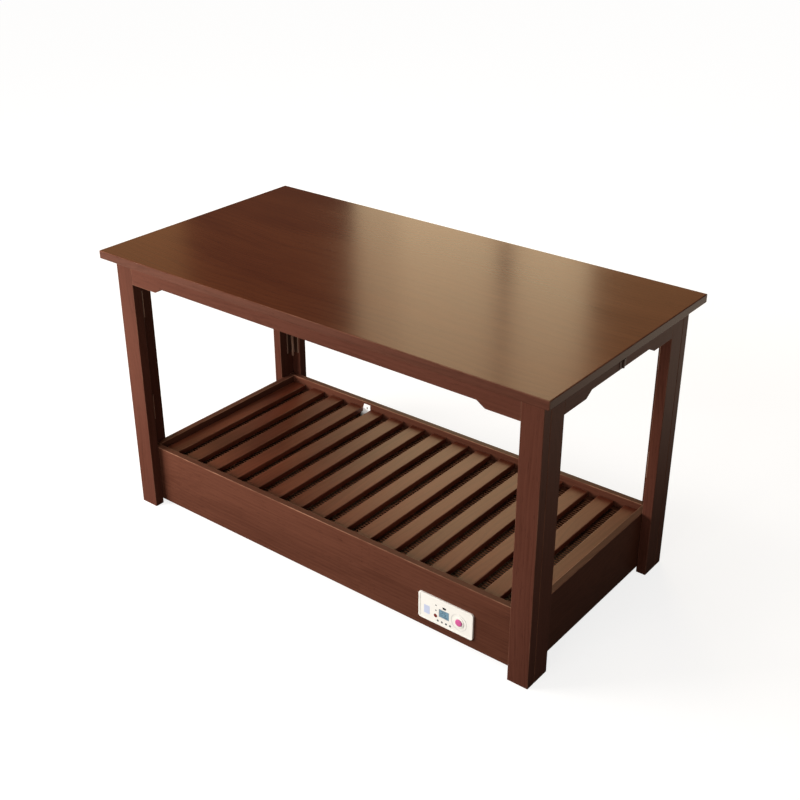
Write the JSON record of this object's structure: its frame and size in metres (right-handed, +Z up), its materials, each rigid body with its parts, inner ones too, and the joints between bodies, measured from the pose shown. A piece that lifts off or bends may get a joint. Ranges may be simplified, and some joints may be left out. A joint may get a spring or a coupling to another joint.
{
  "type": "kotatsu table",
  "caption": "Low heated table with a lift-off top on a hinged leg frame, standing over a heater box with a slatted foot grille and a control panel.",
  "frame": {"origin": "on the floor, under the middle of the tabletop", "axes": "+Z up, +X along the table to its right end, -Y towards the front with the control panel"},
  "size_m": [1.36, 0.7, 0.76],
  "materials": {
    "top_wood": "dark reddish-brown stain, satin lacquer",
    "frame_wood": "dark reddish-brown stain, satin lacquer",
    "box_wood": "dark reddish-brown stain, satin lacquer",
    "slat_wood": "brown stain, satin lacquer",
    "inner_board": "unfinished board",
    "hinge_metal": "antique bronze lacquered steel",
    "white_plastic": "glossy ivory white",
    "display_glass": "blue-grey liquid-crystal window",
    "dark_plastic": "matte dark grey",
    "pink_plastic": "glossy magenta",
    "red_lens": "dark red lens",
    "smoke_lens": "smoked lens",
    "white_steel": "white enamelled steel",
    "bright_steel": "brushed",
    "mesh_steel": "dark brown powder coat",
    "reflector": "heat-darkened sheet",
    "quartz": "dark ruby-coated quartz",
    "ceramic": "white glazed ceramic",
    "circuit": "green circuit board",
    "insulation": "dark ceramic fibre board",
    "foot_rubber": "black rubber"
  },
  "bodies": {
    "heater_box": {"back_ledge": "inner_board", "back_panel": "box_wood", "box_foot_back_left": "foot_rubber", "box_foot_back_right": "foot_rubber", "box_foot_front_left": "foot_rubber", "box_foot_front_right": "foot_rubber", "cable_inlet": "dark_plastic", "ceramic_caps": "ceramic", "control_board": "circuit", "control_housing": "white_plastic", "cutout_lug": "white_steel", "display_window": "display_glass", "floor_board": "inner_board", "front_ledge": "inner_board", "front_panel": "box_wood", "heating_lamp": "red_lens", "heating_tube_back": "quartz", "heating_tube_front": "quartz", "heating_tube_middle": "quartz", "insulation_board": "insulation", "left_panel": "box_wood", "lug_screw": "bright_steel", "reflector_pan": "reflector", "right_panel": "box_wood", "sensor_window": "smoke_lens", "status_lamps": "smoke_lens", "thermal_cutout": "dark_plastic", "tube_holder_left": "bright_steel", "tube_holder_middle": "bright_steel", "tube_holder_right": "bright_steel"},
    "leg_frame": {"front_apron": "frame_wood", "back_apron": "frame_wood", "side_leg_board_front_left": "frame_wood", "side_leg_board_front_right": "frame_wood", "side_leg_board_back_left": "frame_wood", "side_leg_board_back_right": "frame_wood", "end_leg_board_front_left": "frame_wood", "end_leg_board_front_right": "frame_wood", "end_leg_board_back_left": "frame_wood", "end_leg_board_back_right": "frame_wood", "left_apron_front": "frame_wood", "left_apron_back": "frame_wood", "right_apron_front": "frame_wood", "right_apron_back": "frame_wood", "corner_hinges_front_left": "hinge_metal", "corner_hinges_front_right": "hinge_metal", "corner_hinges_back_left": "hinge_metal", "corner_hinges_back_right": "hinge_metal", "mid_hinges": "hinge_metal"},
    "table_top": {"tabletop": "top_wood", "top_battens": "inner_board"},
    "grille": {"grille_slats": "slat_wood", "grille_batten_front": "inner_board", "grille_batten_back": "inner_board", "guard_mesh": "mesh_steel"},
    "power_button": {"power_button": "pink_plastic"},
    "key_1": {"key_1": "dark_plastic"},
    "key_2": {"key_2": "dark_plastic"},
    "key_3": {"key_3": "dark_plastic"},
    "key_4": {"key_4": "dark_plastic"}
  },
  "joints": [
    {"name": "frame_lift", "type": "slide", "parent": "heater_box", "child": "leg_frame", "axis": [0, 0, 1], "range_m": [0, 0.2]},
    {"name": "top_lift", "type": "slide", "parent": "leg_frame", "child": "table_top", "axis": [0, 0, 1], "range_m": [0, 0.15]},
    {"name": "grille_lift", "type": "slide", "parent": "heater_box", "child": "grille", "axis": [0, 0, 1], "range_m": [0, 0.25]},
    {"name": "power_press", "type": "slide", "parent": "heater_box", "child": "power_button", "axis": [0, 1, 0], "range_m": [0, 0.0015], "stiffness_N_per_m": 600},
    {"name": "key_press_1", "type": "slide", "parent": "heater_box", "child": "key_1", "axis": [0, 1, 0], "range_m": [0, 0.0006], "stiffness_N_per_m": 800},
    {"name": "key_press_2", "type": "slide", "parent": "heater_box", "child": "key_2", "axis": [0, 1, 0], "range_m": [0, 0.0006], "stiffness_N_per_m": 800},
    {"name": "key_press_3", "type": "slide", "parent": "heater_box", "child": "key_3", "axis": [0, 1, 0], "range_m": [0, 0.0006], "stiffness_N_per_m": 800},
    {"name": "key_press_4", "type": "slide", "parent": "heater_box", "child": "key_4", "axis": [0, 1, 0], "range_m": [0, 0.0006], "stiffness_N_per_m": 800}
  ]
}
